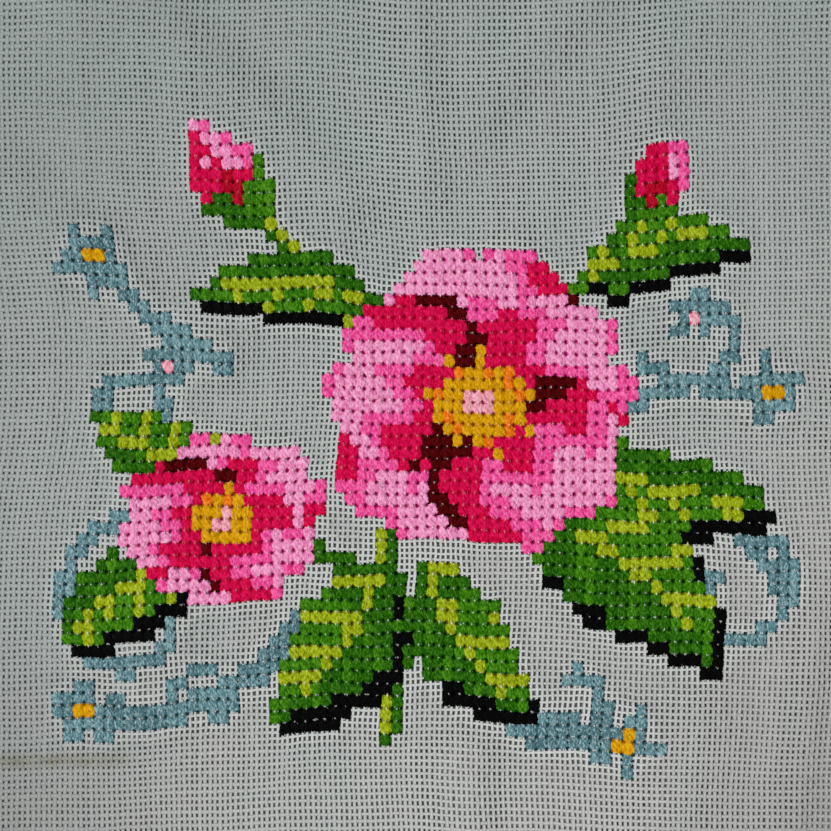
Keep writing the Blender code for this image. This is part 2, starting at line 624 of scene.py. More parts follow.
TENDRILS = (
    tendril((-62, -44), (22, 5), (100, 400), 3.4),
    tendril((-70, 2), (12, 4), (-80, 210), 3.2),
    tendril((68, -40), (18, 4), (95, -230), 3.4),
    tendril((34, -64), (15, 4), (160, 440), 3.4),
    tendril((62, 20), (14, 4), (200, 480), 3.2),
    tendril((-46, -66), (10, 3), (200, -60), 3.0),
)
STEMS = (
    Stem(((-20, -44), (-36, -60), (-54, -68), (-74, -68)), 5.2, Thread.MIST),
    Stem(((8, -52), (20, -68), (44, -74)), 5.2, Thread.MIST),
    Stem(((46, 4), (62, 8), (78, 4)), 4.6, Thread.MIST),
    Stem(((-46, 12), (-60, 20), (-74, 34)), 4.6, Thread.MIST),
    Stem(((60, -14), (70, -22), (80, -38)), 4.4, Thread.MIST),
    Stem(((4, 8), (-16, 26), (-30, 38), (-38, 48)), 4.2, Thread.GREEN, Thread.LIME),
    Stem(((26, 20), (40, 38), (51, 48)), 3.6, Thread.LEAF),
    Stem(((-8, -28), (-2, -52), (-6, -74)), 4.6, Thread.GREEN, Thread.LIME),
    Stem(((-6, -40), (-26, -30), (-40, -26)), 4.0, Thread.GREEN),
)
#   each leaf, and how far aside of it its shade falls
LEAVES = (
    (Leaf((34, -8), (80, -18), 18, -0.08, -1), (2.2, -3.8)),
    (Leaf((22, -22), (66, -56), 26, 0.10), (2.6, -4.2)),
    (Leaf((2, -34), (26, -68), 20, -0.10), (2.6, -4.2)),
    (Leaf((-8, -36), (-32, -70), 22, 0.08, -1), (2.6, -4.2)),
    (Leaf((-52, -34), (-80, -52), 18, -0.10), (2.0, -3.2)),
    (Leaf((-44, -10), (-78, 2), 16, 0.10, -1), None),
    (Leaf((-8, 24), (-54, 27), 15, -0.12), (2.0, -3.0)),
    (Leaf((36, 32), (74, 39), 15, 0.12), (1.0, -2.8)),
)
BUDS = (Bud((-37, 44), (-50, 67), 16), Bud((50, 46), (59, 64), 13))
ROSES = (Rose((-44, -24), 23, 100, 0.92, 1), Rose((13, 4), 38, 90, 0.96, 0))
TINY_FLOWERS = (
    TinyFlower((-74, -67), 8.5, 0.3, Thread.YELLOW),
    TinyFlower((-75, 36), 8.5, 0.9, Thread.YELLOW),
    TinyFlower((79, 6), 8.5, 0.5, Thread.YELLOW),
    TinyFlower((47, -74), 8.5, 1.1, Thread.YELLOW),
    TinyFlower((-60, 12), 7.0, 0.1, Thread.PEACH),
    TinyFlower((62, 23), 7.5, 0.2, Thread.PEACH),
)


def rose_spray() -> Chart:
    """Charts the whole picture, the lowest motifs first.

    Returns:
        The chart.
    """
    chart = Chart()
    chart.paint(*TENDRILS, *STEMS)
    for leaf, shade in LEAVES:
        if shade:
            chart.paint(Shadow(leaf, shade))
        chart.paint(leaf)
    chart.paint(*BUDS)
    for rose in ROSES:
        chart.paint(*rose.motifs())
    chart.paint(*TINY_FLOWERS)
    chart.tidy()
    return chart


# ------------------------------------------------------------------ meshes of many tubes


@dataclass
class Tubes:
    """Many thin closed tubes of one kind, each a ring of corners round every point of its path.

    A tube has three sides, one of them below, and tips where its first and last rings shrink to one point.
    Without tips it has four sides and flat ends. The long edges through its crisp corners stay sharp. A mark
    is one value for each ring, which the finish reads.
    """

    paths: Array
    half_widths: Array
    half_heights: Array
    marks: Array
    crisp: tuple[int, ...] = ()
    tips: bool = True

    @property
    def sides(self) -> int:
        """How many sides a tube has."""
        return 3 if self.tips else 4

    def corners(self) -> Array:
        """Works out the ring of corners round every point of every path.

        Returns:
            Places as [tube, ring, corner, xyz].
        """
        ahead = np.gradient(self.paths, axis=1)
        side = np.stack([ahead[..., 1], -ahead[..., 0], np.zeros(ahead.shape[:2])], axis=-1)
        side /= np.linalg.norm(side, axis=-1, keepdims=True) + 1e-9
        over = np.cross(side, ahead)
        over /= np.linalg.norm(over, axis=-1, keepdims=True) + 1e-9
        first, spread = (-math.pi / 6, 1.0) if self.tips else (math.pi / 4, math.sqrt(2.0))
        turn = 2.0 * math.pi * np.arange(self.sides) / self.sides + first
        across = (self.half_widths[..., None] * np.cos(turn) * spread)[..., None] * side[:, :, None, :]
        upward = (self.half_heights[..., None] * np.sin(turn) * spread)[..., None] * over[:, :, None, :]
        return self.paths[:, :, None, :] + across + upward

    def skin(self) -> list[tuple[Array, Array, Array]]:
        """Lists the faces of one tube but for its flat ends, in sets that have as many corners each.

        Returns:
            For each set: the number, the ring and the side of every corner of every face.
        """
        rings, sides = self.paths.shape[1], self.sides
        ring = np.repeat(np.arange(rings - 1 - 2 * self.tips), sides)[:, None] + [0, 1, 1, 0]
        side = np.tile(np.arange(sides), len(ring) // sides)[:, None] + [0, 0, 1, 1]
        sets = [(ring * sides + side % sides, ring + self.tips, side)]
        if self.tips:
            turn = np.arange(sides)
            tip, after, last = (rings - 2) * sides, (turn + 1) % sides, (rings - 3) * sides
            start = np.stack([turn * 0 + tip, turn, after], axis=1)
            end = np.stack([last + turn, turn * 0 + tip + 1, last + after], axis=1)
            sets.append((start, np.tile([0, 1, 1], (sides, 1)), turn[:, None] + [0.5, 0.0, 1.0]))
            before_last = np.tile([rings - 2, rings - 1, rings - 2], (sides, 1))
            sets.append((end, before_last, turn[:, None] + [0.0, 0.5, 1.0]))
        return sets


@dataclass
class TubeMesh:
    """Joins bundles of tubes into one mesh with two maps.

    The map OFBake gives every face its own room in a square. The map thread_run says how far along its
    thread a place is, in millimetres, and how far round it, with a whole number for each tube.
    """

    name: str
    rng: np.random.Generator
    bundles: list[Tubes]
    kept: dict[str, list[Array]] = field(default_factory=lambda: defaultdict(list))
    n_points: int = 0
    n_tubes: int = 0

    BAKE_MAP = "OFBake"
    RUN_MAP = "thread_run"
    MARK = "ring_mark"
    END_ROOM = 0.04  # what the flat ends take of a tube's room
    END_GRAIN = 9.0  # how fine the fibres are on the flat ends
    MANY_RINGS = 40  # a tube with more rings has the whole width of the bake map
    MOST_OFFSET = 60.0  # how far along its thread a tube may start
    SOFT = -1
    TIP = -2

    def gather(self, tubes: Tubes, columns: int, rows: int) -> None:
        """Makes the corners, faces and maps of one bundle.

        Args:
            tubes: The bundle.
            columns: How many rooms of the bake map lie side by side.
            rows: How many rooms lie over each other.
        """
        (count, rings), sides = tubes.paths.shape[:2], tubes.sides
        ringed = slice(1, rings - 1) if tubes.tips else slice(0, rings)
        points = tubes.corners()[:, ringed].reshape(count, -1, 3)
        marks = np.repeat(tubes.marks[:, ringed], sides, axis=1)
        lines = [side if side in tubes.crisp else self.SOFT for side in range(sides)]
        lines = np.tile(lines, points.shape[1] // sides)
        if tubes.tips:
            points = np.concatenate([points, tubes.paths[:, [0, -1]]], axis=1)
            marks = np.concatenate([marks, tubes.marks[:, [0, -1]]], axis=1)
            lines = np.append(lines, [self.TIP, self.TIP])
        base = self.n_points + points.shape[1] * np.arange(count)[:, None, None]
        index = self.n_tubes + np.arange(count)[:, None, None]
        steps = np.linalg.norm(np.diff(tubes.paths, axis=1), axis=-1)
        offset = self.rng.uniform(0.0, self.MOST_OFFSET, count)[:, None]
        runs = np.cumsum(np.pad(steps, ((0, 0), (1, 0))), axis=1) + offset
        room = (1.0 if tubes.tips else 1.0 - self.END_ROOM) / (rings - 1)
        sets = [
            (faces, room * ring, side / sides, runs[:, ring], 0.999 * side / sides)
            for faces, ring, side in tubes.skin()
        ]
        if not tubes.tips:
            turn = np.arange(sides)
            angle = 2.0 * math.pi * turn / sides + math.pi / 4
            faces = np.stack([turn, (rings - 1) * sides + turn[::-1]])
            across = np.tile(1.0 - self.END_ROOM * (0.5 - 0.35 * np.cos(angle)), (2, 1))
            up = np.stack([0.25 + 0.2 * np.sin(angle), 0.75 - 0.2 * np.sin(angle)])
            sets.append((faces, across, up, self.END_GRAIN * across, np.full(across.shape, 0.5)))
        for faces, across, up, along, around in sets:
            self.kept["loops"].append((base + faces).ravel())
            self.kept["sizes"].append(np.full(count * len(faces), faces.shape[1]))
            places = ((index % columns + across) / columns, (index // columns + up) / rows)
            for name, pair in ((self.BAKE_MAP, places), (self.RUN_MAP, (along, index + around))):
                pair = [np.broadcast_to(part, (count, *faces.shape)) for part in pair]
                self.kept[name].append(np.stack(pair, axis=-1).ravel())
        self.kept["points"].append(points.ravel())
        self.kept["marks"].append(marks.ravel())
        self.kept["lines"].append(np.tile(lines, count))
        self.n_points += points.shape[1] * count
        self.n_tubes += count

    def build(self, material: bpy.types.Material) -> bpy.types.Object:
        """Makes the piece.

        Args:
            material: Its finish.

        Returns:
            The piece, at the origin, with its place in its mesh.
        """
        total = sum(len(tubes.paths) for tubes in self.bundles)
        most_rings = max(tubes.paths.shape[1] for tubes in self.bundles)
        columns = 1 if most_rings > self.MANY_RINGS else max(1, round(math.sqrt(total / 3.0)))
        for tubes in self.bundles:
            self.gather(tubes, columns, math.ceil(total / columns))
        kept = {name: np.concatenate(parts) for name, parts in self.kept.items()}
        mesh = bpy.data.meshes.new(self.name)
        mesh.vertices.add(self.n_points)
        mesh.vertices.foreach_set("co", (kept["points"] * MM).astype(np.float32))
        mesh.loops.add(len(kept["loops"]))
        mesh.loops.foreach_set("vertex_index", kept["loops"].astype(np.int32))
        sizes = kept["sizes"]
        mesh.polygons.add(len(sizes))
        mesh.polygons.foreach_set("loop_start", (np.cumsum(sizes) - sizes).astype(np.int32))
        mesh.polygons.foreach_set("loop_total", sizes.astype(np.int32))
        for name in (self.RUN_MAP, self.BAKE_MAP):
            mesh.uv_layers.new(name=name).data.foreach_set("uv", kept[name].astype(np.float32))
        mesh.uv_layers[self.RUN_MAP].active_render = True
        marks = mesh.attributes.new(self.MARK, "FLOAT", "POINT")
        marks.data.foreach_set("value", kept["marks"].astype(np.float32))
        mesh.update(calc_edges=True)
        mesh.validate()
        mesh.shade_smooth()
        self.sharpen(mesh, kept["lines"])
        mesh.materials.append(material)
        return put_out(self.name, mesh)

    def sharpen(self, mesh: bpy.types.Mesh, lines: Array) -> None:
        """Keeps the long edges through the crisp corners sharp.

        Args:
            mesh: The joined mesh.
            lines: The crisp corner that each point belongs to, or that it is soft or a tip.
        """
        ends = np.empty(2 * len(mesh.edges), dtype=np.int32)
        mesh.edges.foreach_get("vertices", ends)
        start, end = lines[ends[0::2]], lines[ends[1::2]]
        along = (start == end) | (start == self.TIP) | (end == self.TIP)
        sharp = mesh.attributes.new("sharp_edge", "BOOLEAN", "EDGE")
        sharp.data.foreach_set("value", along & (np.maximum(start, end) >= 0))


# ------------------------------------------------------------------ finishes


@dataclass
class Nodes:
    """A short hand for making the nodes of one finish."""

    name: str

    def __post_init__(self) -> None:
        """Starts a finish with a plain shader."""
        self.material = bpy.data.materials.new(self.name)
        self.material.use_nodes = True
        self.tree = self.material.node_tree
        self.shader = self.tree.nodes["Principled BSDF"]
        self.place = self.add("TexCoord", {}, "Object")

    def add(self, kind: str, inputs: dict[int | str, object], out: int | str = 0, **settings: str) -> Socket:
        """Adds a node.

        Args:
            kind: The node's type, short of its first word.
            inputs: A value, or an output to link, for each input by its name or number.
            out: The output that is wanted.
            settings: The node's own settings.

        Returns:
            The output.
        """
        node = self.tree.nodes.new(f"ShaderNode{kind}")
        for name, value in settings.items():
            setattr(node, name, value)
        self.feed(node, inputs)
        return node.outputs[out]

    def feed(self, node: bpy.types.Node, inputs: dict[int | str, object]) -> None:
        """Links outputs into a node's inputs, or sets their values.

        Args:
            node: The node.
            inputs: A value, or an output to link, for each input by its name or number.
        """
        for name, value in inputs.items():
            if isinstance(value, Socket):
                self.tree.links.new(value, node.inputs[name])
            else:
                node.inputs[name].default_value = value

    def maths(self, operation: str, first: object, second: object = 0.0) -> Socket:
        """Works out a sum of two numbers."""
        return self.add("Math", {0: first, 1: second}, operation=operation)

    def times(self, *factors: object) -> Socket:
        """Multiplies numbers."""
        return reduce(lambda first, second: self.maths("MULTIPLY", first, second), factors)

    def part(self, vector: Socket, axis: str) -> Socket:
        """Gives one coordinate of a place."""
        return self.add("SeparateXYZ", {0: vector}, axis)

    def spread(self, value: Socket, low: float, high: float, to_low: float, to_high: float) -> Socket:
        """Spreads a range of values over another range, and holds it there."""
        ends = {"From Min": low, "From Max": high, "To Min": to_low, "To Max": to_high}
        return self.add("MapRange", {"Value": value, **ends}, "Result")

    def blend(self, share: object, first: object, second: object, way: str = "MIX") -> Socket:
        """Mixes two colours, with so great a share of the second one."""
        return self.add("Mix", {0: share, 6: first, 7: second}, 2, data_type="RGBA", blend_type=way)

    def tint(self, base: object, by: Socket, low: float, high: float, most: float, tone: Triple) -> Socket:
        """Lays a tone over a colour: none where a pattern is low, and most where it is high."""
        return self.blend(self.spread(by, low, high, 0.0, most), base, shine_of(tone))

    def shade(self, ground: object, strength: Socket) -> Socket:
        """Makes a colour so many times as strong."""
        grey = self.add("CombineXYZ", {0: strength, 1: strength, 2: strength})
        return self.blend(1.0, ground, grey, "MULTIPLY")

    def run(self, along: float, around: float) -> Socket:
        """Gives the thread's own coordinates, so much finer along it and round it."""
        run = self.add("UVMap", {}, "UV", uv_map=TubeMesh.RUN_MAP)
        return self.add("Mapping", {"Vector": run, "Scale": (along, around, 1.0)})

    def mark(self) -> Socket:
        """Gives the mark of the ring that a place belongs to."""
        return self.add("Attribute", {}, "Fac", attribute_name=TubeMesh.MARK)

    def noise(self, vector: Socket, scale: float, detail: float, rough: float = 0.5) -> Socket:
        """Makes a cloud pattern that is so fine, with so many finer and weaker clouds on it."""
        fineness = {"Scale": scale, "Detail": detail, "Roughness": rough}
        return self.add("TexNoise", {"Vector": vector, **fineness}, "Fac")

    def tube_chance(self) -> Socket:
        """Gives one random value, 0 to 1, to each tube."""
        whole = self.maths("FLOOR", self.part(self.run(1.0, 1.0), "Y"))
        return self.add("TexWhiteNoise", {"W": whole}, "Value", noise_dimensions="1D")

    def raise_fibres(self, height: Socket, strength: float, distance: float) -> None:
        """Raises a pattern so strongly on the surface, so many millimetres high."""
        bump = {"Height": height, "Strength": strength, "Distance": distance * MM}
        self.feed(self.shader, {"Normal": self.add("Bump", bump, "Normal")})


@dataclass(frozen=True)
class CanvasFinish:
    """Greyish-white cotton yarn, a little uneven, with a faint old stain along one pressed crease. Painted
    light lies on it too: a highlight along the crown of each yarn, and painted shade away from the cloth's
    lower middle, towards its lower corners and in part towards its upper left.
    """

    warm: Triple = (163, 163, 161)
    cool: Triple = (146, 158, 154)
    pulled: Triple = (212, 215, 212)
    # the pale colour of loose fibres, also used for the painted highlight along the crown of each yarn
    fibre: Triple = (226, 228, 226)
    stain: Triple = (168, 150, 104)
    stain_line: float = -77.6
    stain_ends: Point = (-96.0, -58.0)
    stain_fades: Point = (6.0, 12.0)
    stain_width: float = 2.4
    roughness: float = 0.88
    sheen: float = 0.15
    gloss: float = 0.25

    def material(self) -> bpy.types.Material:
        """Makes the finish.

        Returns:
            The material of both sets of yarns.
        """
        plan = Nodes("canvas_cotton")
        x, y = (plan.part(plan.place, axis) for axis in "XY")
        # The ground drifts in soft patches from a cool grey at the upper left to a warmer, lighter grey at
        # the lower right: partly a tone of the cloth, and partly painted shade where the light falls off
        # towards the upper left.
        slope = plan.maths("ADD", plan.times(x, 2.0), plan.times(y, -5.0))
        drift = plan.maths("ADD", slope, plan.noise(plan.place, 14.0, 1.5))
        patches = plan.spread(plan.noise(plan.place, 75.0, 1.5), 0.3, 0.7, -0.18, 0.18)
        drift = plan.maths("ADD", drift, patches)
        ground = plan.tint(shine_of(self.cool), drift, 0.0, 1.0, 1.0, self.warm)
        ground = plan.tint(ground, plan.mark(), 0.35, 1.0, 0.5, self.pulled)
        yarn = plan.spread(plan.tube_chance(), 0.0, 1.0, 0.93, 1.05)
        slub = plan.spread(plan.noise(plan.run(0.10, 1.0), 1.0, 2.0), 0.3, 0.7, 0.92, 1.08)
        grain = plan.spread(plan.noise(plan.place, 3200.0, 1.0), 0.3, 0.7, 0.82, 1.18)
        ground = plan.shade(ground, plan.times(yarn, slub, grain))
        # Painted highlight: a paler stripe along the crown of every yarn, where the light falls on its top.
        around = plan.maths("FRACT", plan.part(plan.run(1.0, 1.0), "Y"))
        off_lit_crown = plan.maths("ABSOLUTE", plan.maths("SUBTRACT", around, 0.125))
        ground = plan.blend(plan.spread(off_lit_crown, 0.02, 0.115, 0.42, 0.0), ground, shine_of(self.fibre))
        hairs = plan.noise(plan.run(0.9, 22.0), 1.0, 3.0, 0.6)
        ground = plan.tint(ground, hairs, 0.52, 0.78, 0.50, self.fibre)
        # Painted shade, darker away from the cloth's lower middle.
        ground = plan.shade(ground, self.painted_falloff_share(plan, x, y))
        # Painted shade: the cloth turns darker towards both lower corners.
        aside = plan.spread(plan.maths("ABSOLUTE", x), 0.045, 0.090, 0.0, 1.0)
        low = plan.spread(y, -0.040, -0.085, 0.0, 1.0)
        ground = plan.shade(ground, plan.spread(plan.times(aside, low), 0.0, 1.0, 1.0, 0.82))
        ground = plan.blend(self.stain_share(plan, x, y), ground, shine_of(self.stain), "MULTIPLY")
        plan.feed(plan.shader, {"Base Color": ground, "Roughness": self.roughness})
        plan.feed(plan.shader, {"Sheen Weight": self.sheen, "Specular IOR Level": self.gloss})
        plan.raise_fibres(hairs, 0.5, 0.05)
        return plan.material

    @staticmethod
    def painted_falloff_share(plan: Nodes, x: Socket, y: Socket) -> Socket:
        """Paints shade: makes the cloth a little darker away from its lower middle, where the light falls
        off.

        Args:
            plan: The finish being made.
            x: The place across, in metres.
            y: The place along, in metres.

        Returns:
            How strong its colour is.
        """
        far = []
        for place, middle, reach in zip((x, y), OPEN_MIDDLE, OPEN_REACH):
            off = plan.maths("DIVIDE", plan.maths("SUBTRACT", place, middle * MM), reach * MM)
            far.append(plan.maths("POWER", plan.maths("ABSOLUTE", off), 2.0))
        return plan.spread(plan.maths("ADD", *far), 0.0, 1.0, 0.97, 0.74)

    def stain_share(self, plan: Nodes, x: Socket, y: Socket) -> Socket:
        """Works out how much stain there is.

        Args:
            plan: The finish being made.
            x: The place across, in metres.
            y: The place along, in metres.

        Returns:
            The share of the stain.
        """
        wander = plan.spread(plan.noise(plan.place, 90.0, 3.0), 0.3, 0.7, 0.0, 1.0)
        off_line = plan.maths("ABSOLUTE", plan.maths("SUBTRACT", y, self.stain_line * MM))
        near = plan.spread(off_line, 0.0, self.stain_width * MM, 1.0, 0.0)
        (left, right), fades = self.stain_ends, self.stain_fades
        start = plan.spread(x, left * MM, (left + fades[0]) * MM, 0.0, 1.0)
        end = plan.spread(x, (right - fades[1]) * MM, right * MM, 1.0, 0.0)
        return plan.times(plan.times(near, wander), plan.times(start, end), 0.8)


@dataclass(frozen=True)
class ThreadFinish:
    """Stranded cotton in one dye: fine fibres along the strand, a soft gloss, and painted shade where it
    goes down into the holes.
    """

    thread: Thread
    colour: Triple
    pale: Triple
    deep: Triple
    # the painted shade of the thread down inside a hole
    inside: Triple
    uneven_dye: float = 0.0
    bleached: Triple = (238, 236, 232)
    gloss: float = 0.02
    roughness: float = 0.55
    ruffle: Triple = (2300.0, 1100.0, 1500.0)

    def material(self) -> bpy.types.Material:
        """Makes the finish.

        Returns:
            The material of all crosses in this thread.
        """
        plan = Nodes(f"{self.thread.value}_floss")
        chance, mark = plan.tube_chance(), plan.mark()
        fibres = plan.noise(plan.run(0.8, 12.0), 1.0, 3.0, 0.6)
        locks = plan.noise(plan.run(0.55, 3.1), 1.0, 2.0)
        ruffle = plan.noise(plan.add("Mapping", {"Vector": plan.place, "Scale": self.ruffle}), 1.0, 2.0, 0.6)
        strand = shine_of(self.colour)
        for pattern, low, high, most, tone in (
            (chance, 0.55, 1.0, 0.35, self.pale),
            (chance, 0.45, 0.0, 0.30, self.deep),
            (plan.noise(plan.place, 120.0, 1.0), 0.35, 0.65, self.uneven_dye, self.deep),
            (locks, 0.54, 0.72, 0.20, self.pale),
            (locks, 0.44, 0.28, 0.20, self.deep),
            (ruffle, 0.50, 0.66, 0.75, self.pale),
            (ruffle, 0.48, 0.32, 0.75, self.deep),
            (fibres, 0.55, 0.80, 0.18, self.pale),
            (fibres, 0.42, 0.25, 0.18, self.deep),
        ):
            if most:
                strand = plan.tint(strand, pattern, low, high, most, tone)
        white = plan.spread(mark, -1.0, -0.5, 0.45, 0.0)
        hair = plan.blend(white, shine_of(self.pale), shine_of(self.bleached))
        strand = plan.blend(plan.spread(mark, -0.9, 0.0, 0.95, 0.0), strand, hair)
        # Painted shade: the thread turns to its dark shade inside a hole, where its ring mark is high.
        strand = plan.tint(strand, mark, 0.60, 0.90, 1.0, self.inside)
        plan.feed(plan.shader, {"Base Color": strand, "Roughness": self.roughness})
        plan.feed(plan.shader, {"Specular IOR Level": self.gloss})
        plan.raise_fibres(fibres, 0.25, 0.06)
        return plan.material


#                              thread          colour            pale             deep             painted shade inside a hole
FLOSSES = (
    ThreadFinish(Thread.SHELL, (236, 142, 190), (250, 188, 218), (200, 76, 138), (158, 0, 92)),
    ThreadFinish(Thread.ROSE, (238, 72, 150), (250, 136, 190), (196, 26, 104), (156, 0, 90)),
    ThreadFinish(Thread.CRIMSON, (206, 0, 64), (232, 34, 100), (168, 0, 44), (180, 0, 46)),
    ThreadFinish(Thread.RED, (176, 0, 34), (208, 28, 60), (130, 0, 18), (104, 0, 8)),
    ThreadFinish(Thread.MAROON, (70, 0, 2), (104, 6, 14), (44, 0, 0), (26, 0, 0)),
    ThreadFinish(Thread.YELLOW, (208, 150, 2), (234, 184, 34), (176, 110, 0), (150, 92, 0)),
    ThreadFinish(Thread.ORANGE, (225, 112, 10), (248, 158, 56), (196, 74, 2), (158, 40, 0)),
    ThreadFinish(Thread.PEACH, (238, 158, 175), (252, 206, 214), (204, 98, 122), (160, 30, 74)),
    ThreadFinish(Thread.LIME, (143, 161, 8), (190, 205, 58), (96, 110, 0), (86, 76, 0)),
    ThreadFinish(Thread.LEAF, (48, 110, 4), (98, 158, 40), (22, 72, 0), (6, 56, 0)),
    ThreadFinish(Thread.GREEN, (30, 88, 0), (76, 134, 34), (10, 56, 0), (0, 40, 0)),
    ThreadFinish(Thread.BLACK, (3, 4, 3), (11, 12, 12), (0, 0, 0), (0, 0, 0)),
    ThreadFinish(Thread.MIST, (98, 140, 147), (170, 198, 202), (48, 86, 96), (24, 62, 70), 0.7),
)
#   how full a thread lies, and how pale the teeth between its rows are
LIES = {
    Thread.SHELL: (1.05, 0.70),
    Thread.ROSE: (1.05, 0.70),
    Thread.CRIMSON: (1.00, 0.66),
    Thread.MAROON: (0.94, 1.00),
    Thread.LIME: (1.00, 0.88),
    Thread.LEAF: (0.96, 1.00),
    Thread.GREEN: (0.95, 1.00),
    Thread.BLACK: (0.91, 1.00),
    Thread.MIST: (0.75, 0.85),
}
PLAIN_LIE = (1.00, 0.60)


@dataclass(frozen=True)
class TableFinish:
    """A plain pale matt table top."""

    colour: Triple = (186, 186, 183)
    roughness: float = 0.8

    def material(self) -> bpy.types.Material:
        """Makes the finish.

        Returns:
            The material of the table top.
        """
        plan = Nodes("pale_table")
        drift = plan.spread(plan.noise(plan.place, 3.0, 2.0), 0.3, 0.7, 0.97, 1.0)
        colour = plan.shade(shine_of(self.colour), drift)
        plan.feed(plan.shader, {"Base Color": colour, "Roughness": self.roughness})
        return plan.material


# ------------------------------------------------------------------ the woven canvas


@dataclass
class Weave:
    """Where every yarn and hole of the canvas is.

    Lines of holes are counted from the middle of the cloth, and a cross covers two by two of the spaces
    between them. The work draws the holes a little closer together.
    """

    chart: Chart
    drape: Drape
    yarns: tuple[int, int] = (170, 142)
    open_pitch: Point = (1.22, 1.465)
    worked_pitch: Point = (1.165, 1.39)
    worked_middle: Point = (0.0, -5.5)
    worked_reach: Point = (69.0, 54.5)
    blend_lines: float = 4.0
    middle: Point = (0.0, -0.4)
    half_thickness: float = 0.42
    work_lift: float = 0.36
    waver: Point = (0.24, 0.34)
    hole_slack: float = 0.11
    pulls: tuple[Pull, ...] = PULLS

    def __post_init__(self) -> None:
        """Works out the plain places of the lines, where the work is, and how uneven the holes are."""
        self.stations = [self.line_places(axis) for axis in (0, 1)]
        ground = np.pad(self.chart.worked(), 2)
        for axis in (0, 1, 0, 1):
            ground = 0.5 * ground + 0.25 * (np.roll(ground, 1, axis) + np.roll(ground, -1, axis))
        self.ground = ground
        corners = (2, self.chart.across + 1, self.chart.up + 1)
        self.slack = np.random.default_rng(SEED + 1).normal(0.0, self.hole_slack, corners)

    def line_places(self, axis: int) -> Places:
        """Lays out the lines of holes along one way of the cloth.

        Args:
            axis: 0 for across, 1 for up.

        Returns:
            The lines' numbers and their plain places.
        """
        lines = np.arange(self.yarns[axis] + 1) - self.yarns[axis] / 2
        spaces = lines[:-1] + 0.5
        past = (np.abs(spaces - self.worked_middle[axis]) - self.worked_reach[axis]) / self.blend_lines
        tight = self.worked_pitch[axis]
        pitch = tight + (self.open_pitch[axis] - tight) * smooth(past)
        places = np.concatenate([[0.0], np.cumsum(pitch)])
        return lines, places - np.interp(0.0, lines, places) + self.middle[axis]

    def cells_at(self, lines: Places) -> Places:
        """Gives the columns and rows of the chart at some lines."""
        return (lines[0] + self.chart.across) / 2, (lines[1] + self.chart.up) / 2

    def place(self, lines: Places) -> Places:
        """Gives where points of the weave lie, seen from above.

        Args:
            lines: Line numbers, whole or not.

        Returns:
            The places.
        """
        plain_x, plain_y = (np.interp(line, *stations) for line, stations in zip(lines, self.stations))
        x, y = plain_x.copy(), plain_y.copy()
        for pull in self.pulls:
            move_x, move_y = pull.drawn((plain_x, plain_y))
            x += move_x
            y += move_y
        share = 0.4 + 0.6 * self.near_work(lines)
        cells = self.cells_at(lines)
        x += share * self.waver[0] * np.sin(plain_y / 5.2 + 1.1 * np.sin(plain_x / 8.0) + 2.0)
        y += share * self.waver[1] * np.sin(plain_x / 4.6 + 1.3 * np.sin(plain_y / 9.0) + 0.7)
        return x + share * between(self.slack[0], cells), y + share * between(self.slack[1], cells)

    def near_work(self, lines: Places) -> Array:
        """Gives 1 inside a worked ground, and 0 a few crosses away from it."""
        column, row = self.cells_at(lines)
        return smooth(2.6 * between(self.ground, (column + 1.5, row + 1.5)))

    def lie(self, lines: Places) -> Spots:
        """Gives where points of the weave lie, lifted where there is thread behind them.

        Args:
            lines: Line numbers, whole or not.

        Returns:
            The places, and the heights of the middle of the cloth there.
        """
        x, y = self.place(lines)
        height = self.drape.underside((x, y)) + self.half_thickness
        return x, y, height + self.work_lift * self.near_work(lines)

    def holes_of(self, cells: Array) -> Places:
        """Gives the lines of the lower left hole of each cell."""
        return 2.0 * cells[:, 0] - self.chart.across, 2.0 * cells[:, 1] - self.chart.up


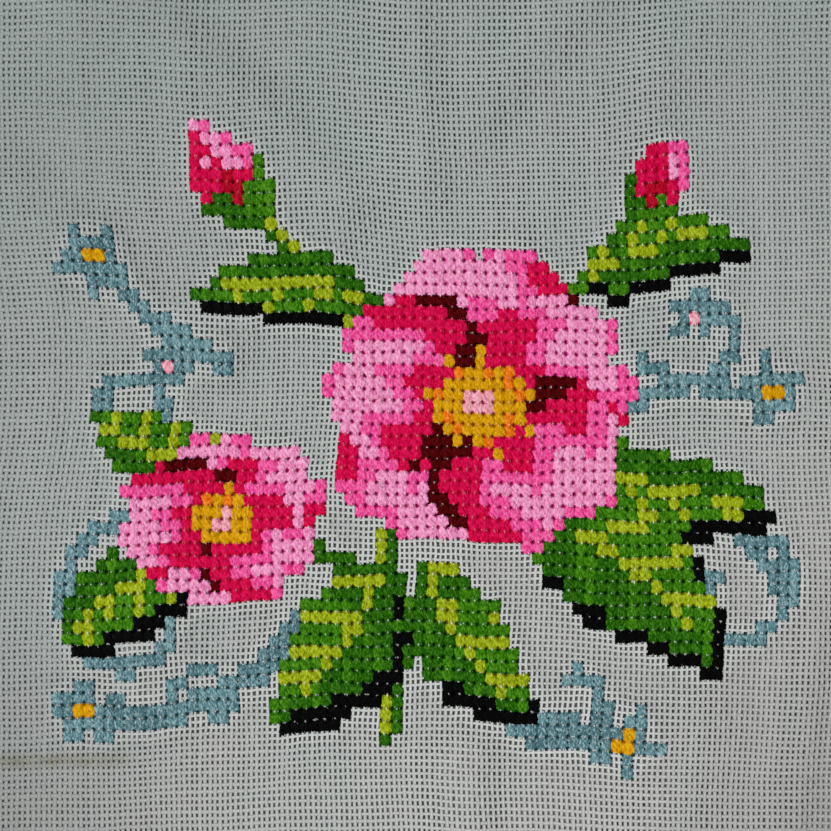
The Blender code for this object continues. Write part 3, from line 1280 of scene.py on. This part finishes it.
@dataclass
class Canvas:
    """The two sets of yarns. Widths are the warp's and then the weft's."""

    weave: Weave
    rng: np.random.Generator
    slack_half_widths: Point = (0.430, 0.460)
    tight_half_widths: Point = (0.345, 0.320)
    half_height: float = 0.20
    crimp: float = 0.045
    jitter: float = 0.045
    corner_push: float = 0.22
    squeeze: float = 0.24
    fringe: Point = (1.5, 2.7)
    bend: float = 0.16
    uneven: float = 0.06

    def crossings(self) -> tuple[Array, Array]:
        """Places every crossing of a warp and a weft yarn.

        The crossings at the corners of a worked cross are pushed towards its middle by its thread.

        Returns:
            The places as [weft, warp, xyz], and how close the worked ground is to each.
        """
        warp, weft = (np.arange(count) for count in self.weave.yarns)
        lines = np.meshgrid(warp + 0.5 - len(warp) / 2, weft + 0.5 - len(weft) / 2)
        x, y, z = self.weave.lie(lines)
        worked = self.weave.chart.worked()[tuple(np.meshgrid((warp + 1) // 2, weft // 2))]
        toward_x, toward_y = np.meshgrid(1 - 2 * ((warp + 1) % 2), 1 - 2 * (weft % 2))
        x = x + toward_x * self.corner_push * worked + self.rng.normal(0.0, self.jitter, x.shape)
        y = y + toward_y * self.corner_push * worked + self.rng.normal(0.0, self.jitter, y.shape)
        return np.stack([x, y, z], axis=-1), self.weave.near_work(lines)

    def with_ends(self, yarns: Array, wave: Array) -> Array:
        """Adds the raw ends past the last crossings and the ups and downs of the weave.

        Args:
            yarns: The crossings' places as [yarn, crossing, xyz].
            wave: 1 where a yarn passes over and -1 where it passes under, as [yarn, crossing].

        Returns:
            The yarns' paths, with two more rings at each end.
        """
        path = yarns.copy()
        path[..., 2] += self.crimp * wave
        ends = []
        for near, next_in in ((0, 1), (-1, -2)):
            root = yarns[:, near]
            way = root - yarns[:, next_in]
            way /= np.linalg.norm(way, axis=1, keepdims=True)
            length = self.rng.uniform(*self.fringe, len(yarns))[:, None]
            bend = self.rng.normal(0.0, self.bend, (len(yarns), 3))
            half = root + way * length * 0.5 + bend * 0.4
            tip = root + way * length + bend
            half[:, 2] = root[:, 2] - self.crimp * wave[:, near] * 0.7
            tip[:, 2] = root[:, 2] + np.abs(bend[:, 2])
            ends += [half[:, None], tip[:, None]]
        first_half, first_tip, last_half, last_tip = ends
        return np.concatenate([first_tip, first_half, path, last_half, last_tip], axis=1)

    def yarns(self, name: str, points: Array, over: Array, near_work: Array, axis: int) -> TubeMesh:
        """Makes one set of yarns, which lie slacker and wider away from the cloth's lower middle.

        Args:
            name: The piece's name.
            points: The crossings as [yarn, crossing, xyz].
            over: 1 where this set passes over, and -1 where it passes under.
            near_work: How close the worked ground is at each crossing.
            axis: 0 for the warp, 1 for the weft.

        Returns:
            The mesh in the making.
        """
        path = self.with_ends(points, over)
        rings = path.shape[:2]
        far = [((path[..., k] - OPEN_MIDDLE[k]) / OPEN_REACH[k]) ** 2 for k in (0, 1)]
        slack, tight = self.slack_half_widths[axis], self.tight_half_widths[axis]
        width = slack + (tight - slack) * np.clip(1.0 - far[0] - far[1], 0.0, 1.0)
        near = np.pad(near_work, ((0, 0), (2, 2)), mode="edge")
        width *= 1.0 - self.squeeze * near
        width *= 1.0 + self.rng.normal(0.0, self.uneven, rings)
        width *= 1.0 + self.rng.normal(0.0, self.uneven, (rings[0], 1))
        width[:, 2:-2] *= 1.0 + 0.04 * over
        width[:, [0, -1]] *= 1.25
        height = np.full(rings, self.half_height)
        return TubeMesh(name, self.rng, [Tubes(path, width, height, near, crisp=(0, 1, 2, 3), tips=False)])

    def build(self, finish: CanvasFinish) -> tuple[bpy.types.Object, bpy.types.Object]:
        """Makes both sets of yarns.

        Args:
            finish: Their finish.

        Returns:
            The weft and the warp.
        """
        points, near_work = self.crossings()
        weft, warp = np.indices(near_work.shape)
        weft_over = np.where((weft + warp) % 2 == 0, 1.0, -1.0)
        material = finish.material()
        wefts = self.yarns("canvas_weft", points, weft_over, near_work, 1)
        warps = self.yarns("canvas_warp", points.transpose(1, 0, 2), -weft_over.T, near_work.T, 0)
        return wefts.build(material), warps.build(material)


# ------------------------------------------------------------------ the crosses


@dataclass
class Floss:
    """How full a thread lies, and the crosses that are worked with it."""

    thread: Thread
    weave: Weave
    rng: np.random.Generator
    fullness: float
    tooth_tone: float

    #   the stations along a leg, from hole to hole
    SHARES = np.array([0.0, 0.14, 0.21, 0.33, 0.67, 0.79, 0.86, 1.0])
    FANS = np.array([0.0, 0.60, 0.75, 0.97, 0.97, 0.75, 0.60, 0.0])
    LEAN = np.array([0.0, 0.10, 0.06, 0.02, -0.02, -0.06, -0.10, 0.0])
    LOWER_LEG = np.array([-0.32, 0.30, 0.36, 0.38, 0.38, 0.36, 0.30, -0.32])
    UPPER_LEG = np.array([-0.32, 0.34, 0.44, 0.54, 0.54, 0.44, 0.34, -0.32])
    # Painted shade: how much of its dark shade a strand takes at each station, full down in a hole, less on
    # the outer strands, and varied where an end bites into the cloth.
    SHADE_IN_HOLE = np.array([1.0, 0.86, 0.30, 0.0, 0.0, 0.30, 0.86, 1.0])
    FLANK_SHADE_IN_HOLE = 0.75
    BITE_SHADES = (0.78, 1.10)  # how deep the tone is where an end bites into the cloth
    STRANDS = (-1.0, 0.0, 1.0)
    FAN_WIDTH = 0.72
    FAN_RANGE = (0.86, 1.12)
    TWIST = 0.40
    TWIST_ALONG = 0.70
    TWIST_LIFT = 0.35
    DRIFT = 0.06
    SWAY = 0.03
    LIFT = 0.02
    STRAND_HALF_WIDTH = 0.46
    STRAND_HALF_HEIGHT = 0.10
    STRAND_GIRTHS = (0.9, 1.1)
    HOLE_GIRTH = 0.55
    SPINDLE = np.array([0.0, 1.0, 0.0])  # a tip, the middle, a tip
    HAIRS = 6
    HAIR_REACH = 0.95
    HAIR_HEIGHT = 0.36
    HAIR_CROWN = 0.32
    HAIR_LENGTHS = (0.5, 1.1)
    HAIR_HALF_WIDTH = 0.125
    HAIR_GIRTHS = (0.7, 1.3)
    HAIR_TURN = 0.65
    HAIR_DROOP = 0.16
    HAIR_FLATNESS = 0.7
    TOOTH_HALF_WIDTH = 0.29
    TOOTH_GIRTHS = (0.25, 1.35)
    TOOTH_TURN = 0.25
    TOOTH_FLATNESS = 0.6
    TOOTH_LENGTHS = (0.55, 1.0)
    TOOTH_HEIGHT = 0.45
    TOOTH_DROOP = 0.06
    #   on a full thread the teeth stand higher, and are this many times as long and as wide
    FULL_TOOTH = (0.12, 1.6, 1.15)
    BAR_STATIONS = np.array([[-0.12, 0.05, 0.95, 1.12]])
    BAR_HEIGHTS = np.array([-0.40, -0.46, -0.46, -0.40])
    BAR_SIZE = (0.30, 0.12)
    BAR_ASIDE = 0.14
    BAR_LOWEST = 0.18
    TABLE_GAP = 0.05

    def legs(self, cells: Array, start: Point, end: Point, heights: Array, lean: float) -> Tubes:
        """Makes one leg of every cross.

        Args:
            cells: The crosses' cells on the chart.
            start: The corner of the cell where the leg comes up, in holes from its lower left.
            end: The corner where it goes down.
            heights: The leg's height over the middle of the cloth at each station.
            lean: 1 or -1, so that its strands lie closest to the sides of the cell.

        Returns:
            Its strands.
        """
        rng, share, count = self.rng, self.SHARES[None, :], len(cells)
        lines = [
            (hole + first)[:, None] * (1 - share) + (hole + last)[:, None] * share
            for hole, first, last in zip(self.weave.holes_of(cells), start, end)
        ]
        x, y, z = self.weave.lie(lines)
        line = np.stack([x, y, z + heights], axis=-1)
        run = line[:, -1, :2] - line[:, 0, :2]
        run /= np.linalg.norm(run, axis=1, keepdims=True)
        aside = np.stack([-run[:, 1], run[:, 0], np.zeros(count)], axis=-1)[:, None, :]

        fan = self.FAN_WIDTH * self.fullness * rng.uniform(*self.FAN_RANGE, (count, 1)) * self.FANS
        twist = rng.normal(0.0, self.TWIST, (count, 1))
        twist = twist + rng.normal(0.0, self.TWIST_ALONG, (count, 1)) * (share - 0.5)
        drift = rng.normal(0.0, self.DRIFT, (count, 1)) * np.sin(math.pi * share)
        thickness = self.HOLE_GIRTH + (1.0 - self.HOLE_GIRTH) * self.FANS
        paths, girths = [], []
        for strand in self.STRANDS:
            spread = fan * (1.0 + lean * strand * self.LEAN)
            offset = strand * np.cos(twist) * spread + drift + rng.normal(0.0, self.SWAY, fan.shape)
            rise = rng.normal(0.0, self.LIFT, fan.shape) - strand * np.sin(twist) * fan * self.TWIST_LIFT
            path = line + aside * offset[..., None]
            path[..., 2] = np.maximum(path[..., 2] + rise, self.STRAND_HALF_HEIGHT + self.TABLE_GAP)
            paths.append(path)
            girths.append(rng.uniform(*self.STRAND_GIRTHS, (count, 1)) * thickness)
        girth = self.fullness * np.concatenate(girths)
        outer = np.repeat(np.abs(self.STRANDS), count)[:, None]
        # The marks set how much painted shade each strand takes near the holes.
        marks = self.SHADE_IN_HOLE * (1.0 - outer * (1.0 - self.FLANK_SHADE_IN_HOLE))
        marks[:, [1, 6]] *= np.tile(rng.uniform(*self.BITE_SHADES, (count, 2)), (len(self.STRANDS), 1))
        marks[:, [0, -1]] = 1.0
        half_widths = self.STRAND_HALF_WIDTH * girth
        half_heights = self.STRAND_HALF_HEIGHT * girth
        return Tubes(np.concatenate(paths), half_widths, half_heights, marks, crisp=(0, 2))

    @staticmethod
    def spindles(places: Spots, turn: Array, rise: Array, length: Array, droop: Array) -> Array:
        """Lays out short spindles that bend down at both ends.

        Args:
            places: The middle of each.
            turn: Which way each points.
            rise: How steeply each rises.
            length: How long each is.
            droop: How far its ends are moved, as xyz.

        Returns:
            Their paths, of three points each.
        """
        middle = np.stack(places, axis=-1)
        reach = np.stack([np.cos(turn), np.sin(turn), rise], axis=-1) * (0.5 * length)[:, None]
        return np.stack([middle - reach + droop, middle, middle + reach + droop], axis=1)

    def hairs(self, cells: Array) -> Tubes:
        """Makes the loose fibres that stand out of the thread, each a fine spindle.

        Args:
            cells: The crosses' cells on the chart.

        Returns:
            The fibres.
        """
        rng, count = self.rng, len(cells) * self.HAIRS
        across = rng.uniform(-1.0, 1.0, count) * self.HAIR_REACH
        along = rng.uniform(-1.0, 1.0, count) * (1.0 - 0.8 * np.abs(across) ** 1.5)
        a, b = (np.repeat(hole, self.HAIRS) + 1.0 for hole in self.weave.holes_of(cells))
        x, y, z = self.weave.lie((a + across, b + along))
        crown = self.HAIR_CROWN * (1.0 - np.maximum(np.abs(across), np.abs(along)))
        z = z + self.HAIR_HEIGHT + crown + rng.uniform(0.0, 0.12, count)
        turn = rng.normal(math.pi / 2, self.HAIR_TURN, count)
        length = rng.uniform(*self.HAIR_LENGTHS, count)
        rise = rng.normal(0.0, 0.12, count)
        droop = np.stack([*rng.normal(0.0, 0.08, (2, count)), -self.HAIR_DROOP * length], axis=-1)
        girth = self.HAIR_HALF_WIDTH * rng.uniform(*self.HAIR_GIRTHS, (count, 1)) * self.SPINDLE
        edge = smooth((np.abs(along) - 0.45) / 0.35)
        marks = np.repeat(-(0.45 + 0.55 * edge) * rng.uniform(0.25, 1.0, count), 3).reshape(-1, 3)
        paths = self.spindles((x, y, z), turn, rise, length, droop)
        return Tubes(paths, girth, self.HAIR_FLATNESS * girth, marks)

    def teeth(self, cells: Array, row: float) -> Tubes:
        """Makes the pale teeth between two rows: canvas and loose fibre, halfway along each cross.

        Args:
            cells: The crosses' cells on the chart.
            row: 0 for the lower side of the cell, 2 for its upper side.

        Returns:
            The teeth.
        """
        rng, count = self.rng, len(cells)
        higher, longer, wider = self.FULL_TOOTH if self.fullness >= 1.0 else (0.0, 1.0, 1.0)
        a, b = self.weave.holes_of(cells)
        a = a + 1.0 + rng.normal(0.0, 0.10, count)
        x, y, z = self.weave.lie((a, b + row + rng.normal(0.0, 0.06, count)))
        z = z + self.TOOTH_HEIGHT + higher + rng.normal(0.0, 0.03, count)
        turn = rng.normal(math.pi / 2, self.TOOTH_TURN, count)
        length = rng.uniform(*self.TOOTH_LENGTHS, count) * longer
        girth = self.TOOTH_HALF_WIDTH * wider * rng.uniform(*self.TOOTH_GIRTHS, (count, 1)) * self.SPINDLE
        droop = np.array([0.0, 0.0, -self.TOOTH_DROOP])
        paths = self.spindles((x, y, z), turn, np.zeros(count), length, droop)
        return Tubes(paths, girth, self.TOOTH_FLATNESS * girth, np.full(girth.shape, -self.tooth_tone))

    def bars(self, cells: Array, column: float) -> Tubes:
        """Makes the upright bars behind the cloth, along one side of every cross.

        Args:
            cells: The crosses' cells on the chart.
            column: 0 for the left side of the cell, 2 for its right side.

        Returns:
            The bars.
        """
        a, b = (hole[:, None] for hole in self.weave.holes_of(cells))
        b = b + 2.0 * self.BAR_STATIONS
        x, y, z = self.weave.lie((np.broadcast_to(a + column, b.shape), b))
        x = x + (1.0 - column) * self.BAR_ASIDE + self.rng.normal(0.0, 0.05, x.shape)
        z = z + self.BAR_HEIGHTS + self.rng.normal(0.0, 0.02, x.shape)
        width, height = (half * np.ones_like(x) for half in self.BAR_SIZE)
        z = np.maximum(z, self.BAR_LOWEST)
        # The bars take the full painted hole shade, as they are seen only down the holes.
        return Tubes(np.stack([x, y, z], axis=-1), width, height, np.ones_like(x))

    def build(self, material: bpy.types.Material) -> bpy.types.Object:
        """Makes every cross of this thread, front and back, as one piece.

        Args:
            material: The thread's finish.

        Returns:
            The piece.
        """
        cells = self.weave.chart.crosses_of(self.thread)
        bundles = [
            self.legs(cells, (0, 0), (2, 2), self.LOWER_LEG, 1.0),
            self.legs(cells, (2, 0), (0, 2), self.UPPER_LEG, -1.0),
            self.hairs(cells),
            self.teeth(cells, 0.0),
            self.teeth(cells, 2.0),
            self.bars(cells, 0.0),
            self.bars(cells, 2.0),
        ]
        return TubeMesh(self.thread.piece, self.rng, bundles).build(material)


# ------------------------------------------------------------------ table, light and camera


@dataclass(frozen=True)
class Lamp:
    """One round soft light that looks at the middle of the cloth."""

    name: str
    place: Triple
    size: float
    power: float
    colour: Triple

    def hang(self) -> None:
        """Puts the light in its place."""
        data = bpy.data.lights.new(self.name, "AREA")
        data.shape = "DISK"
        data.size = self.size
        data.energy = self.power
        data.color = self.colour
        lamp = put_out(self.name, data)
        lamp.location = self.place
        lamp.rotation_euler = Vector(self.place).to_track_quat("Z", "Y").to_euler()
        lamp.visible_camera = False


@dataclass(frozen=True)
class Studio:
    """A pale table, soft light from the left and a weaker one from the lower right, and a camera above."""

    half_table: float = 1.5
    view_width: float = 0.186
    lens: float = 70.0
    sensor: float = 36.0
    lamps: tuple[Lamp, ...] = (
        Lamp("window_light", (-2.47, 0.72, 3.06), 1.8, 136.0, (0.98, 1.0, 1.0)),
        Lamp("fill_light", (0.08, -0.44, 0.30), 0.30, 0.75, (1.0, 0.96, 0.94)),
    )
    sky_colour: tuple[float, ...] = (0.98, 0.99, 1.0, 1.0)
    sky_strength: float = 0.23

    def table(self) -> None:
        """Makes the table top."""
        mesh = bpy.data.meshes.new(TABLE)
        half = self.half_table
        corners = [(x, y, 0.0) for y in (-half, half) for x in (-half, half)]
        mesh.from_pydata(corners, [], [(0, 1, 3, 2)])
        mesh.materials.append(TableFinish().material())
        top = put_out(TABLE, mesh)

    def camera(self) -> None:
        """Sets the camera straight above the middle of the cloth."""
        data = bpy.data.cameras.new("camera")
        data.lens = self.lens
        data.sensor_width = self.sensor
        data.clip_start = 0.01
        eye = put_out("camera", data)
        eye.location = (0.0, 0.0, self.view_width * self.lens / self.sensor + CAD_BOX[1].z * 0.5)
        bpy.context.scene.camera = eye

    def lights(self) -> None:
        """Hangs the soft lights and sets the even light of the room."""
        for lamp in self.lamps:
            lamp.hang()
        world = bpy.data.worlds.new("pale_room")
        world.use_nodes = True
        sky = world.node_tree.nodes["Background"]
        sky.inputs["Color"].default_value = self.sky_colour
        sky.inputs["Strength"].default_value = self.sky_strength
        bpy.context.scene.world = world
        bpy.context.scene.view_settings.view_transform = "Standard"


def main() -> None:
    """Builds the picture, piece by piece, and attaches each one to the root body."""
    logging.basicConfig(level=logging.INFO, format="%(message)s")
    rng = np.random.default_rng(SEED)
    chart = rose_spray()
    weave = Weave(chart, Drape())
    studio = Studio()
    studio.camera()
    studio.lights()
    studio.table()

    weft, warp = Canvas(weave, rng).build(CanvasFinish())
    for yarns in (weft, warp):
        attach(yarns, "root")
        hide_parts(CANVAS_NODE)
        LOG.info("%s: %d faces", yarns.name, len(yarns.data.polygons))

    for finish in FLOSSES:
        floss = Floss(finish.thread, weave, rng, *LIES.get(finish.thread, PLAIN_LIE))
        crosses = floss.build(finish.material())
        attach(crosses, "root")
        finish.thread.slot
        LOG.info("%s: %d faces", crosses.name, len(crosses.data.polygons))

    LOG.info("chart: %d crosses", len(chart.cells))


if __name__ == "__main__":
    main()
